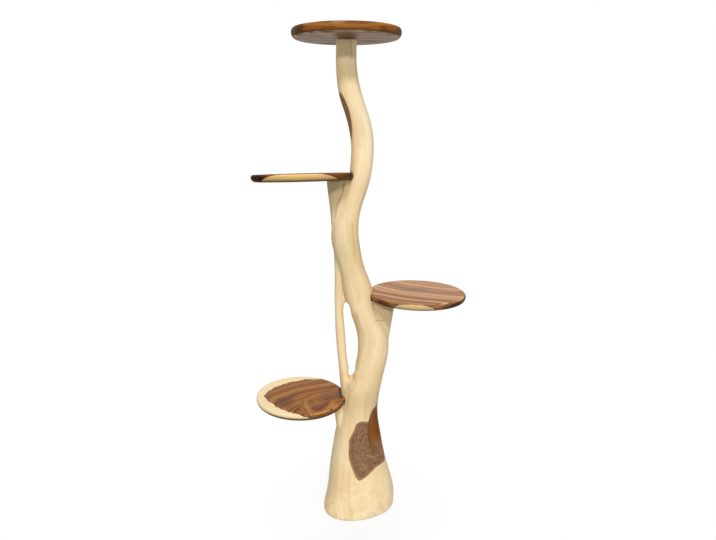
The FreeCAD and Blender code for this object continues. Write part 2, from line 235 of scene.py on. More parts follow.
def remeshed(bm, look):
    rough = bpy.data.meshes.new("trunkRough")
    bm.to_mesh(rough)
    bm.free()
    carving = bpy.data.objects.new("trunkCarving", rough)
    scene.collection.objects.link(carving)
    remesh = carving.modifiers.new("voxels", "REMESH")
    remesh.mode = "VOXEL"
    remesh.voxel_size = look["voxel"] * mm
    carved = bpy.data.meshes.new_from_object(carving.evaluated_get(bpy.context.evaluated_depsgraph_get()))
    carving.modifiers.clear()
    carving.data = carved
    bpy.data.meshes.remove(rough)
    return carving


# Eases the voxel steps, the inner corners, the groove beside the limb and the slit's ends
def easeCarving(bm, look, corners):
    soft = look["smoothing"]
    smooth(bm, bm.verts, look["stepRounds"], soft)
    away = [corners.find(v.co)[2] for v in bm.verts]
    for reach, rounds in look["cornerRounds"]:
        near = [v for v, gap in zip(bm.verts, away) if gap < reach * mm
                and not any(insideFront(v.co, box) for box in look["crisp"])]
        smooth(bm, near, rounds, soft)
    groove = look["groove"]
    near = [v for v, gap in zip(bm.verts, away) if gap < groove["reach"] * mm
            and insideFront(v.co, groove["box"])]
    smooth(bm, near, groove["rounds"], soft)
    ends = look["slitEnds"]
    near = [v for v in bm.verts if any(math.hypot(v.co.x / mm - x, v.co.z / mm - z) < ends["reach"]
                                       for x, z in ends["places"])]
    smooth(bm, near, ends["rounds"], soft)
    bm.normal_update()


# Each point's place round the line that its grain follows, up the stem or the limb
def grainPlaces(bm, look):
    lowest, highest = look["limb"][0][0], look["limb"][-1][0]
    places = []
    for v in bm.verts:
        place = v.co / mm
        fromStem = place - alongLine(look["stem"], place.z)
        fromLimb = place - alongLine(look["limb"], place.z)
        limbNearer = fromLimb.length - look["limbRadius"] < fromStem.length - look["stemRadius"]
        if limbNearer and lowest < place.z < highest:
            places.append(Vector((fromLimb.x + look["limbShift"], fromLimb.y, place.z)))
        else:
            places.append(Vector((fromStem.x, fromStem.y, place.z)))
    return places


# How much each point takes of one kind of line, marks in the wood and lines of painted shade and painted
# highlight
def markShares(bm, marks, reach):
    lines = [([Vector(p) for p in points], width, strength) for points, width, strength in marks]
    shares = []
    for v in bm.verts:
        place = v.co / mm
        share = 0.0
        for points, width, strength in lines:
            low, high = sorted((points[0].z, points[-1].z))
            if low - reach * width < place.z < high + reach * width:
                share = max(share, strength * math.exp(-(lineDistance(points, place) / width) ** 2))
        shares.append(share)
    return shares


# Soft tool marks along the grain, with none at the boards' seats and the floor, and the crack's dent
def cutToolMarks(bm, look, grain, seats):
    tool, crack = look["toolMarks"], look["crack"]
    crackLine = [Vector(p) for p in look["marks"]["dark"][0][0]]
    room = look["seatRoom"] * mm
    for v, line in zip(bm.verts, grain):
        place = v.co / mm
        wave = noise.noise(Vector((line.x / tool["width"], line.y / tool["width"], line.z / tool["length"])))
        if place.z < look["floorRoom"] or any(insideBox(v.co, seat, room) for seat in seats):
            wave = 0.0
        dent = crack["depth"] * math.exp(-(lineDistance(crackLine, place) / crack["width"]) ** 2)
        v.co += v.normal * (wave * tool["depth"] - dent) * mm


# How deep each point lies inside the patch where the carving has gone through to the heartwood
def heartDepths(bm, look):
    around = look["heartRound"]
    outline = [Vector((math.radians(turn) * around, height)) for turn, height in look["heartOutline"]]
    lowest, highest = look["heartZone"]
    depths = []
    for v in bm.verts:
        place = v.co / mm
        if lowest < place.z < highest:
            turn = math.atan2(place.x, -place.y)
            depths.append(outlineDistance(outline, Vector((turn * around, place.z))))
        else:
            depths.append(look["noHeart"])
    return depths


# How much each point takes of a hollow's colour
def hollowShares(bm, hollow, edge):
    half, reach = hollow["length"] / 2, hollow["radius"]
    arc = (half * half + reach * reach) / (2 * reach)   # radius of the spindle's long side
    toHollow = Matrix.Rotation(math.radians(hollow["lean"]), 3, "Y")
    fadeLow, fadeHigh = hollow["fade"]
    shares = []
    for v in bm.verts:
        local = toHollow @ (v.co / mm - Vector(hollow["middle"]))
        share = 0.0
        if abs(local.z) < half:
            wall = math.sqrt(arc * arc - local.z ** 2) - (arc - reach)
            inside = clamp((wall + edge - math.hypot(local.x, local.y)) / edge)
            share = inside * clamp((v.co.z / mm - fadeLow) / (fadeHigh - fadeLow))
        shares.append(share)
    return shares


# Lighter and darker patches, some of them painted light and shade
def shadeAndToneShares(bm, shadeAndTonePatches):
    shares = []
    for v in bm.verts:
        x, z = v.co.x / mm, v.co.z / mm
        shares.append(sum(amount * math.exp(-((x - atX) / wide) ** 2 - ((z - atZ) / tall) ** 2)
                          for atX, atZ, wide, tall, amount in shadeAndTonePatches))
    return shares


def carveTrunk(look):
    seats = [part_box(n) for n in boards]
    bm = bmesh.new()
    bm.from_mesh(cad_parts["trunk"].data)
    bmesh.ops.remove_doubles(bm, verts=bm.verts, dist=look["mergeGap"] * mm)
    closeHoles(bm, look)
    corners = innerCorners(bm, look, seats)
    carving = remeshed(bm, look)

    mesh = carving.data
    bm = bmesh.new()
    bm.from_mesh(mesh)
    easeCarving(bm, look, corners)
    grain = grainPlaces(bm, look)
    shares = {kind: markShares(bm, marks, look["markReach"]) for kind, marks in look["marks"].items()}
    cutToolMarks(bm, look, grain, seats)
    shares["heart"] = heartDepths(bm, look)
    for name, hollow in look["hollows"].items():
        shares[name] = hollowShares(bm, hollow, look["hollowEdge"])
    shares["cloud"] = shadeAndToneShares(bm, look["shadeAndTonePatches"])
    bm.to_mesh(mesh)
    bm.free()

    grainValues = [part for place in grain for part in place]
    mesh.attributes.new("grain", "FLOAT_VECTOR", "POINT").data.foreach_set("vector", grainValues)
    for name, values in shares.items():
        mesh.attributes.new(name, "FLOAT", "POINT").data.foreach_set("value", values)
    mesh.shade_smooth()
    print("trunk:", len(mesh.polygons), "faces")
    return carving


# Rain tree sapwood, carved, sanded and given a clear satin lacquer: cream with soft long streaks, and brown
# heartwood with ring lines where the carving goes deep. Lengths are in mm.
sapwoodLook = {
    "lacquer": {"IOR": 1.5, "Specular IOR Level": 0.12},
    "cream": [(0.25, "#E6C796"), (0.42, "#EFD5A7"), (0.55, "#F5DFB5"), (0.72, "#F9E7C3")],
    "cloudTint": (0.92, 1.0, 1.3),   # how much a darker or lighter patch changes red, green and blue
    "fibreWidth": 2.4, "fibreLength": 170.0,   # coarser than real ones, so that they show
    "thread": {"From Min": 0.3, "From Max": 0.62, "To Min": 0.91, "To Max": 1.03},   # tone of single fibres
    "streakWidth": 17.0, "streakLength": 260.0,
    "cloud": 110.0,
    "ringSpacing": 7.0,       # between growth rings on the foot
    "ringWander": 46.0,
    "ringFade": {"From Min": 160.0, "From Max": 40.0, "To Max": 0.05},   # heights, and tone at the lower one
    "heart": [(0.1, "#523822"), (0.38, "#7B5941"), (0.6, "#906C50"), (0.9, "#B89878")],
    "heartRing": 3.4,         # between the heartwood's ring lines
    "heartLines": {"From Min": 0.2, "From Max": 0.8},
    "heartInner": {"From Min": 16.0, "From Max": 34.0, "To Max": 0.4},   # depths where they grow faint
    "ripple": 30.0,           # length of the waves in the outline and in the lines
    "outlineRipple": 6.0, "lineRipple": 22.0,   # depth of these waves
    "outlineBlur": {"From Min": -1.2, "From Max": 1.2},
    "mottle": 9.0,
    "mottleTone": {"From Min": 0.35, "From Max": 0.65, "To Min": 0.7, "To Max": 1.27},
    "heartEdge": "#B08A66",
    "heartEdgeFade": {"From Min": 5.0, "From Max": 1.5, "To Max": 0.5},
    "scoop": [(0.25, "#5E350C"), (0.5, "#854F16"), (0.75, "#A46A22")],
    # bend: tan heartwood in the hollow on the stem's left, darkened as painted shade on the hollow's wall
    "bend": [(0.25, "#7A4E20"), (0.5, "#9E6C32"), (0.75, "#B48446")],
    # highlightBand paints a highlight down the stem's right side; dark also paints shade where the stem meets
    # the top board and along the limb's crease
    "highlightBand": "#FBF3DC", "pale": "#C8AA88", "warm": "#C98A45", "dark": "#4A3322",
    "roughness": {"From Min": 0.3, "From Max": 0.7, "To Min": 0.46, "To Max": 0.60},
    "bumpStrength": 0.12, "bumpDepth": 0.4,
}


# Cream wood with its fibres, faint growth rings where the foot's slope cuts across them, and cloudy patches,
# some of them painted light and shade
def creamColour(tree, look, line, place, fibre, streak):
    cloud = addNode(tree, "TexNoise", {"Vector": place, "Scale": 1 / (look["cloud"] * mm), "Detail": 2.0})
    tone = addNode(tree, "Mix", {0: 0.5, 2: streak, 3: cloud})   # half of each
    cream = addNode(tree, "ValToRGB", {"Fac": tone}, stops=look["cream"])
    spread = addNode(tree, "SeparateXYZ", {"Vector": line}, out=None)
    across = addNode(tree, "CombineXYZ", {"X": spread.outputs["X"], "Y": spread.outputs["Y"]})
    radius = addNode(tree, "VectorMath", {0: across}, operation="LENGTH", out="Value")
    wander = addNode(tree, "Math", {0: cloud, 1: look["ringWander"], 2: radius}, operation="MULTIPLY_ADD")
    turns = addNode(tree, "Math", {0: wander, 1: 2 * math.pi / look["ringSpacing"]}, operation="MULTIPLY")
    ring = addNode(tree, "Math", {0: turns}, operation="SINE")
    low = addNode(tree, "MapRange", {"Value": spread.outputs["Z"], **look["ringFade"]})
    ring = addNode(tree, "Math", {0: ring, 1: low}, operation="MULTIPLY")
    thread = addNode(tree, "MapRange", {"Value": fibre, **look["thread"]})
    shade = addNode(tree, "Math", {0: thread, 1: ring}, operation="SUBTRACT")
    colour = addNode(tree, "VectorMath", {0: cream, "Scale": shade}, operation="SCALE")
    # lighter and darker patches: wood tone, and painted light and shade under the boards and on the stem's
    # left edge
    patch = addNode(tree, "Attribute", attribute_name="cloud", out="Fac")
    patch = addNode(tree, "VectorMath", {0: patch, 1: look["cloudTint"], 2: (1, 1, 1)},
                    operation="MULTIPLY_ADD")
    return addNode(tree, "VectorMath", {0: colour, 1: patch}, operation="MULTIPLY")


# Brown heartwood, whose ring lines run beside its own outline, and the share of it at each point
def heartColour(tree, look, place):
    depth = addNode(tree, "Attribute", attribute_name="heart", out="Fac")
    ripple = addNode(tree, "TexNoise", {"Vector": place, "Scale": 1 / (look["ripple"] * mm), "Detail": 3.0})
    ripple = addNode(tree, "Math", {0: ripple, 1: noiseMean}, operation="SUBTRACT")
    edge = addNode(tree, "Math", {0: ripple, 1: look["outlineRipple"], 2: depth}, operation="MULTIPLY_ADD")
    mask = addNode(tree, "MapRange", {"Value": edge, **look["outlineBlur"]}, interpolation_type="SMOOTHSTEP")
    depth = addNode(tree, "Math", {0: ripple, 1: look["lineRipple"], 2: depth}, operation="MULTIPLY_ADD")
    lines = addNode(tree, "TexNoise", {"W": depth, "Scale": 1 / look["heartRing"], "Detail": 3.0,
                                       "Roughness": 0.6}, noise_dimensions="1D")
    lines = addNode(tree, "MapRange", {"Value": lines, **look["heartLines"]})
    inner = addNode(tree, "MapRange", {"Value": depth, **look["heartInner"]})
    lines = addNode(tree, "Mix", {0: inner, 2: lines, 3: noiseMean})
    brown = addNode(tree, "ValToRGB", {"Fac": lines}, stops=look["heart"])
    mottle = addNode(tree, "TexNoise", {"Vector": place, "Scale": 1 / (look["mottle"] * mm), "Detail": 4.0,
                                        "Roughness": 0.7})
    mottle = addNode(tree, "MapRange", {"Value": mottle, **look["mottleTone"]})
    brown = addNode(tree, "VectorMath", {0: brown, "Scale": mottle}, operation="SCALE")
    rim = addNode(tree, "MapRange", {"Value": edge, **look["heartEdgeFade"]})
    brown = addNode(tree, "Mix", {0: rim, 6: brown, 7: linear(look["heartEdge"])}, data_type="RGBA", out=2)
    return brown, mask


def sapwoodMaterial(look):
    material, tree, shader = newMaterial("rainTreeSapwoodCarved", look["lacquer"])
    line = addNode(tree, "Attribute", attribute_name="grain", out="Vector")
    place = addNode(tree, "TexCoord", out="Object")
    fibreScale = (1 / look["fibreWidth"], 1 / look["fibreWidth"], 1 / look["fibreLength"])
    fibreAt = addNode(tree, "Mapping", {"Vector": line, "Scale": fibreScale})
    fibre = addNode(tree, "TexNoise", {"Vector": fibreAt, "Scale": 1.0, "Detail": 3.0, "Roughness": 0.6})
    streakScale = (1 / look["streakWidth"], 1 / look["streakWidth"], 1 / look["streakLength"])
    streakAt = addNode(tree, "Mapping", {"Vector": line, "Scale": streakScale})
    streak = addNode(tree, "TexNoise", {"Vector": streakAt, "Scale": 1.0, "Detail": 2.0})

    colour = creamColour(tree, look, line, place, fibre, streak)
    heart, mask = heartColour(tree, look, place)
    orange = addNode(tree, "ValToRGB", {"Fac": streak}, stops=look["scoop"])
    inScoop = addNode(tree, "Attribute", attribute_name="scoop", out="Fac")
    heart = addNode(tree, "Mix", {0: inScoop, 6: heart, 7: orange}, data_type="RGBA", out=2)
    colour = addNode(tree, "Mix", {0: mask, 6: colour, 7: heart}, data_type="RGBA", out=2)
    tan = addNode(tree, "ValToRGB", {"Fac": streak}, stops=look["bend"])
    inBend = addNode(tree, "Attribute", attribute_name="bend", out="Fac")
    colour = addNode(tree, "Mix", {0: inBend, 6: colour, 7: tan}, data_type="RGBA", out=2)
    # the highlight band and the dark lines in the crease and at the top board paint light and shade; the rest
    # are lines in the wood
    for mark in ("highlightBand", "pale", "warm", "dark"):
        share = addNode(tree, "Attribute", attribute_name=mark, out="Fac")
        colour = addNode(tree, "Mix", {0: share, 6: colour, 7: linear(look[mark])}, data_type="RGBA", out=2)

    rough = addNode(tree, "MapRange", {"Value": streak, **look["roughness"]})
    bump = addNode(tree, "Bump", {"Height": fibre, "Strength": look["bumpStrength"],
                                  "Distance": look["bumpDepth"] * mm})
    wire(tree, shader, {"Base Color": colour, "Roughness": rough, "Normal": bump})
    return material


trunk = carveTrunk(trunkCarving)
trunk.data.materials.clear()
trunk.data.materials.append(sapwoodMaterial(sapwoodLook))
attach(trunk, "root")
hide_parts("trunk")
print("trunk carved and stained")


# Boards: rain tree heartwood planks, sawn round, with a hand-rounded edge, sanded and lacquered satin.
# Rings of lighter and darker wood lie round the log's middle, pale sapwood stays at some edges, and the
# end grain is dark. Places and sizes are in mm from the board's middle, x to the right, y to the back and
# z up, and angles in degrees. A slope is 1 on the top, 0 on an upright edge and -1 underneath.
boardFinish = {   # the same on all boards, unless a board's own look says otherwise
    "ior": 1.5, "specular": 0.05,
    "fibre": (80, 1.8, 1.8),      # length, width and height, coarser than real ones, so that they show
    "thread": {"From Min": 0.3, "From Max": 0.65, "To Min": 0.80, "To Max": 1.10},   # tone of single fibres
    "waveWidth": 70.0,            # across the grain, of the waves in the rings
    "swirlBlur": 6.0, "swirlFade": 16.0,   # at a swirl's edge and behind it
    "smudge": 24.0,               # size of the irregular bits at the edges of stains and heartwood
    "stainRagged": 0.6,           # share of a stain's size
    "stainEdge": {"From Min": 1.55, "From Max": 0.85},
    "rimSlope": {"From Min": 0.85, "From Max": 0.45},
    "arrisSlope": {1: 0.8, 2: 0.14},     # upper arris: its slope, and how far from it the arris goes
    "arrisWearAndHighlight": 1.2,                        # painted highlight along the upper arris, with rubbed wear, paler where over 1
    "footSlope": {1: -0.56, 2: 0.12},    # lower arris
    "footShade": 1.0,                     # painted shade along the lower arris, darker where under 1
    "endSlope": {"From Min": 0.72, "From Max": 0.97},   # how squarely a face cuts the grain
    "rimStainsAndShade": [], "underStains": [],
    "heartWave": 5.0,
    "heartLine": {"From Min": 0.0, "From Max": 6.0, "To Min": 0.62},   # dark line inside the heartwood's edge
    "heartBlur": {"From Min": -1.0, "From Max": 1.0},
    "sapThread": {"From Min": 0.3, "From Max": 0.7, "To Min": 0.90, "To Max": 1.04},
    "sapTop": 1.06,                      # painted light: tone of sapwood at the upper face, falling to sapFoot at the bottom as painted shade
    "underFade": 0.14,                   # of slope
    "sawn": (120, 16, 16),               # streaks on the underside: length, width and height
    "sawnStops": (0.34, 0.62),
    "roughness": {"From Min": 0.3, "From Max": 0.7, "To Min": 0.46, "To Max": 0.6},
    "bumpStrength": 0.15, "bumpDepth": 0.3,
}
# rings and swirl: the log's middle, how much x, y and z count, how far a lower layer shifts the rings,
# waves, fine lines (spacing, range of the noise, range of the tone), and tones by distance from the middle.
# heart: circles that the heartwood fills, with x, y, radius, and growth of the radius with height.
# stainsAndShade: place, size, colour and amount, a few of them painted shade. rim, partly painted shade, and
# endGrain: colour and amount.
# under: dark and pale tone, amount, and slope at which the underside's look starts; its darkness is partly
# painted shade.
boardLooks = {
    "top_shelf": {
        "tilt": 2.0, "roll": 0.0, "grain": 0.0,
        "rings": {"pith": (0, 30, -900), "weights": (0, 1, 1), "dip": 0.0, "wave": 11.0, "waveLength": 150.0,
                  "lines": ((7.0, 0.3, 0.5, 0.72, 1.05), (2.0, 0.25, 0.75, 0.82, 1.14)),
                  "bands": [(884, "#5E3A1E"), (890, "#77461F"), (895, "#8A5527"), (899, "#A0642B"),
                            (904, "#8F5626"), (909, "#B07334"), (914, "#9A602C"), (920, "#BA8042"),
                            (930, "#8A5427"), (945, "#A56A33")]},
        "heart": [(0, 0, 900, 0)], "ragged": 0.0,
        "stainsAndShade": [((-128, -70, 4), (26, 60, 14), "#33200F", 0.9),
                   ((-152, -20, 0), (20, 90, 40), "#5E5444", 0.8),
                   ((152, -40, 0), (14, 70, 40), "#3A2C22", 0.7),
                   ((106, -127, -1), (16, 20, 7), "#4E2A12", 0.65),
                   ((-17, -150, 9), (24, 14, 5), "#C9A273", 0.6),
                   ((-94, -135, 2), (22, 24, 7), "#AE642C", 0.55),
                   ((80, -145, 3), (20, 22, 7), "#B46A2A", 0.5),
                   ((-50, -156, -3), (26, 16, 4), "#6A401E", 0.5)],
        # painted light and shade: rim darker, sapwood paler at the top and darker towards the foot, darker
        # lower arris and underside
        "sap": "#E9CF9B", "rim": ("#7A4A22", 0.35), "endGrain": ("#4A3D30", 0.5),
        "sapFoot": 0.8, "sapArris": 1.0, "footShade": 0.62, "under": ("#86644E", "#CBBDAE", 0.92, -0.6),
        # painted shade on the underside in front of the stem, with the heartwood's reddish tone
        "underStains": [((0, -80, -12), (36, 66, 30), "#745030", 0.85)],
    },
    "upper_left_shelf": {
        "tilt": -2.2, "roll": -1.4, "grain": 0.0,
        "rings": {"pith": (0, 60, -500), "weights": (0, 1, 1), "dip": 0.0, "wave": 20.0, "waveLength": 160.0,
                  "lines": ((9.0, 0.3, 0.5, 0.72, 1.05), (2.4, 0.25, 0.75, 0.82, 1.14)),
                  "bands": [(480, "#4A2A1A"), (495, "#6B4026"), (505, "#8A5A34"), (515, "#5A3420"),
                            (530, "#7D4E2E")]},
        "heart": [(-80, 3884, 4000, 1.85)], "ragged": 4.0,
        "stainsAndShade": [((-118, -60, -3), (64, 120, 15), "#0E0606", 1.0),
                   ((124, -75, 0), (24, 70, 16), "#8A5420", 0.75)],
        # painted light and shade: rim darker, sapwood paler at the top and upper arris and darker towards the
        # foot, darker underside
        "sap": "#E8C080", "rim": ("#5A3620", 0.3), "endGrain": ("#1E0F0A", 0.6), "specular": 0.015,
        "sapFoot": 0.55, "sapArris": 1.3, "under": ("#3A2E26", "#6A5A4A", 0.7, -0.5),
    },
    "right_shelf": {
        "tilt": 0.8, "roll": 1.0, "grain": -24.0,
        "rings": {"pith": (178, 361, 0), "weights": (1, 1, 0), "dip": 4.0, "wave": 26.0, "waveLength": 190.0,
                  "lines": ((15.0, 0.34, 0.52, 0.5, 1.05), (5.5, 0.3, 0.52, 0.66, 1.08),
                            (2.2, 0.25, 0.75, 0.78, 1.2)),
                  "bands": [(230, "#C08E6C"), (268, "#D0A17E"), (298, "#C09070"), (328, "#D6A886"),
                            (350, "#C49470"), (372, "#A0715A"), (392, "#D2A480"), (424, "#DAAD86"),
                            (450, "#C6956F"), (468, "#946650"), (482, "#D6A67E"), (502, "#CF9D74"),
                            (517, "#9A6A4C"), (532, "#CF9E72"), (560, "#9A6643")]},
        "heart": [(130, 846, 999, 0.69)], "ragged": 8.0,
        "stainsAndShade": [((-5, 22, 11), (64, 24, 14), "#8C7C66", 0.5)],
        # painted shade: the rim's lower half darkened where it faces down, with dark end grain
        "rimStainsAndShade": [((145, -44, -5), (22, 58, 14), "#24120A", 0.95),
                      ((106, -104, -8), (66, 56, 15), "#2A150B", 0.95),
                      ((-112, -98, -6), (44, 40, 14), "#4E2810", 0.85)],
        # painted light and shade: rim darker, sapwood paler at the top and upper arris and darker towards the
        # foot, darker underside
        "sap": "#E2C28E", "rim": ("#7E4A1C", 0.6), "endGrain": ("#4A2810", 0.4),
        "sapFoot": 0.66, "sapArris": 1.1, "under": ("#3A2414", "#6A4E32", 0.85, -0.6),
    },
    "lower_left_shelf": {
        "tilt": 2.2, "roll": 1.8, "grain": 22.0,
        "rings": {"pith": (190.7, -222.7, 0), "weights": (1, 1, 0), "dip": 1.6, "wave": 34.0,
                  "waveLength": 130.0,
                  "lines": ((13.0, 0.34, 0.54, 0.52, 1.05), (5.0, 0.3, 0.55, 0.6, 1.1),
                            (2.0, 0.25, 0.75, 0.76, 1.2)),
                  "bands": [(180, "#A8703C"), (232, "#9A6234"), (246, "#B47A40"), (262, "#9C6638"),
                            (276, "#A8703F"), (290, "#8C5A40"), (304, "#AC7142"), (318, "#BC824C"),
                            (330, "#9C663A"), (345, "#B0784A"), (362, "#B27A50"), (378, "#AA744E")]},
        "swirl": {"pith": (60, -20, 0), "weights": (1, 0.45, 0), "dip": 0.6, "wave": 26.0, "waveLength": 60.0,
                  "edge": 58.0, "back": -40.0,   # distance from its middle, and y, at which it ends
                  "lines": ((9.0, 0.34, 0.52, 0.66, 1.06), (3.0, 0.3, 0.55, 0.74, 1.1)),
                  "bands": [(0, "#94603C"), (14, "#9E6A40"), (24, "#8A5838"), (32, "#7C4C2C"),
                            (39, "#A87040"), (46, "#B57E48"), (52, "#A06A3C"), (60, "#94603A")]},
        "heart": [(70, 50, 189, 0.6), (58, -63, 178.5, 0.4)], "ragged": 22.0,
        "stainsAndShade": [((-46, -55, 11), (30, 40, 16), "#5A3834", 0.55),
                   # painted shade: the dark patch by the trunk at x 128, where the trunk shades the board
                   ((128, 44, 11), (11, 60, 16), "#2A1E16", 0.85),
                   ((92, 0, 11), (40, 34, 16), "#6E5248", 0.45),
                   ((112, -76, 11), (17, 20, 16), "#C68A4C", 0.6),
                   ((27, -72, 11), (20, 22, 16), "#B4824E", 0.4)],
        # painted light and shade: rim darker, paler upper arris, sapwood darker towards the foot, underside
        # tone from just below the nose
        "sap": "#F6E0B8", "rim": ("#6E421E", 0.7), "endGrain": ("#3A2114", 0.3), "arrisWearAndHighlight": 1.45,
        "sapFoot": 0.42, "sapArris": 1.0, "under": ("#423626", "#66563E", 0.9, -0.05),
    },
}


# What all parts of a board's material read: places on the board, its fibres, its smudges and its slopes
def boardSockets(tree, node, look):
    low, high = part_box(node)
    middle = (low + high) / 2
    roll = Matrix.Rotation(math.radians(look["roll"]), 3, "Y")
    turn = roll @ Matrix.Rotation(math.radians(look["tilt"]), 3, "X")
    grainTurn = math.radians(look["grain"])
    place = addNode(tree, "TexCoord", out="Object")
    board = addNode(tree, "Mapping", {"Vector": place, "Location": middle, "Rotation": turn.to_euler(),
                                      "Scale": (mm, mm, mm)}, vector_type="TEXTURE")
    spread = addNode(tree, "SeparateXYZ", {"Vector": board}, out=None)
    height = spread.outputs["Z"]
    below = addNode(tree, "Math", {0: height, 1: (high.z - low.z) / 2 / mm}, operation="SUBTRACT")
    fibreAt = addNode(tree, "Mapping", {"Vector": board, "Rotation": (0, 0, grainTurn),
                                        "Scale": look["fibre"]}, vector_type="TEXTURE")
    fibre = addNode(tree, "TexNoise", {"Vector": fibreAt, "Scale": 1.0, "Detail": 3.0, "Roughness": 0.65})
    facing = addNode(tree, "NewGeometry", out="Normal")
    upward = addNode(tree, "VectorMath", {0: facing, 1: turn.col[2]}, operation="DOT_PRODUCT", out="Value")
    grainLine = turn @ Matrix.Rotation(grainTurn, 3, "Z") @ Vector((1, 0, 0))
    endwise = addNode(tree, "VectorMath", {0: facing, 1: grainLine}, operation="DOT_PRODUCT", out="Value")
    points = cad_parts[node].data.vertices
    return {
        "board": board, "backward": spread.outputs["Y"], "height": height, "below": below,
        "halfThick": max((turn.transposed() @ (v.co - middle)).z for v in points) / mm,
        "fibre": fibre,
        "thread": addNode(tree, "MapRange", {"Value": fibre, **look["thread"]}),
        "smudge": addNode(tree, "TexNoise", {"Vector": board, "Scale": 1 / look["smudge"], "Detail": 2.0}),
        "upward": upward,
        "endwise": addNode(tree, "Math", {0: endwise}, operation="ABSOLUTE"),
        "onArris": addNode(tree, "Math", {0: upward, **look["arrisSlope"]}, operation="COMPARE"),
        "grainTurn": grainTurn,
    }


# Colour of the rings round a log's middle, each point's distance from it, and the waves in the rings
def ringColour(tree, on, rings, waveWidth):
    waveScale = (1 / rings["waveLength"], 1 / waveWidth, 1 / waveWidth)
    waveAt = addNode(tree, "Mapping", {"Vector": on["board"], "Scale": waveScale})
    wave = addNode(tree, "TexNoise", {"Vector": waveAt, "Scale": 1.0, "Detail": 2.0})
    wave = addNode(tree, "Math", {0: wave, 1: noiseMean}, operation="SUBTRACT")
    away = addNode(tree, "VectorMath", {0: on["board"], 1: rings["pith"]}, operation="SUBTRACT")
    away = addNode(tree, "VectorMath", {0: away, 1: rings["weights"]}, operation="MULTIPLY")
    away = addNode(tree, "VectorMath", {0: away}, operation="LENGTH", out="Value")
    away = addNode(tree, "Math", {0: on["below"], 1: rings["dip"], 2: away}, operation="MULTIPLY_ADD")
    away = addNode(tree, "Math", {0: wave, 1: rings["wave"], 2: away}, operation="MULTIPLY_ADD")
    first, last = rings["bands"][0][0], rings["bands"][-1][0]
    share = addNode(tree, "MapRange", {"Value": away, "From Min": first, "From Max": last})
    stops = [((mid - first) / (last - first), colour) for mid, colour in rings["bands"]]
    colour = addNode(tree, "ValToRGB", {"Fac": share}, stops=stops)
    for spacing, low, high, dark, light in rings["lines"]:
        lines = addNode(tree, "TexNoise", {"W": away, "Scale": 1 / spacing, "Detail": 2.0},
                        noise_dimensions="1D")
        lines = addNode(tree, "MapRange", {"Value": lines, "From Min": low, "From Max": high, "To Min": dark,
                                           "To Max": light})
        colour = addNode(tree, "VectorMath", {0: colour, "Scale": lines}, operation="SCALE")
    return colour, away, wave


# Soft patches of another tone: stains, and painted shade where a board's table puts it
def stainedAndShaded(tree, on, look, colour, stainsAndShade):
    for at, size, stain, amount in stainsAndShade:
        off = addNode(tree, "VectorMath", {0: on["board"], 1: at}, operation="SUBTRACT")
        off = addNode(tree, "VectorMath", {0: off, 1: size}, operation="DIVIDE")
        off = addNode(tree, "VectorMath", {0: off}, operation="LENGTH", out="Value")
        off = addNode(tree, "Math", {0: on["smudge"], 1: look["stainRagged"], 2: off},
                      operation="MULTIPLY_ADD")
        share = addNode(tree, "MapRange", {"Value": off, "To Max": amount, **look["stainEdge"]},
                        interpolation_type="SMOOTHSTEP")
        colour = addNode(tree, "Mix", {0: share, 6: colour, 7: linear(stain)}, data_type="RGBA", out=2)
    return colour


# Heartwood's figure on the board's faces, and the waves in its rings
def figureColour(tree, on, look):
    wood, away, wave = ringColour(tree, on, look["rings"], look["waveWidth"])
    if "swirl" in look:
        edge, back = look["swirl"]["edge"], look["swirl"]["back"]
        swirl, away = ringColour(tree, on, look["swirl"], look["waveWidth"])[:2]
        blur, fade = look["swirlBlur"], look["swirlFade"]
        inSwirl = addNode(tree, "MapRange", {"Value": away, "From Min": edge + blur, "From Max": edge - blur},
                          interpolation_type="SMOOTHSTEP")
        front = addNode(tree, "MapRange", {"Value": on["backward"], "From Min": back + fade,
                                           "From Max": back - fade}, interpolation_type="SMOOTHSTEP")
        inSwirl = addNode(tree, "Math", {0: inSwirl, 1: front}, operation="MULTIPLY")
        wood = addNode(tree, "Mix", {0: inSwirl, 6: wood, 7: swirl}, data_type="RGBA", out=2)
    wood = addNode(tree, "VectorMath", {0: wood, "Scale": on["thread"]}, operation="SCALE")
    return stainedAndShaded(tree, on, look, wood, look["stainsAndShade"]), wave


# The edge's faces: darker all round, partly edge wood and partly painted shade on the upright faces, and end
# grain where they lie across the grain
def rimColour(tree, on, look, wood):
    colour, amount = look["rim"]
    side = addNode(tree, "MapRange", {"Value": on["upward"], "To Max": amount, **look["rimSlope"]})
    rim = addNode(tree, "VectorMath", {0: linear(colour)[:3], "Scale": on["thread"]}, operation="SCALE")
    wood = addNode(tree, "Mix", {0: side, 6: wood, 7: rim}, data_type="RGBA", out=2)
    # painted highlight, with wear, on the upper arris, and painted shade along the lower arris
    onFoot = addNode(tree, "Math", {0: on["upward"], **look["footSlope"]}, operation="COMPARE")
    for share, tone in ((on["onArris"], look["arrisWearAndHighlight"]), (onFoot, look["footShade"])):
        tone = addNode(tree, "MapRange", {"Value": share, "To Min": 1.0, "To Max": tone})
        wood = addNode(tree, "VectorMath", {0: wood, "Scale": tone}, operation="SCALE")
    colour, amount = look["endGrain"]
    ends = addNode(tree, "MapRange", {"Value": on["endwise"], "To Max": amount, **look["endSlope"]},
                   interpolation_type="SMOOTHSTEP")
    wood = addNode(tree, "Mix", {0: ends, 6: wood, 7: linear(colour)}, data_type="RGBA", out=2)
    return stainedAndShaded(tree, on, look, wood, look["rimStainsAndShade"])


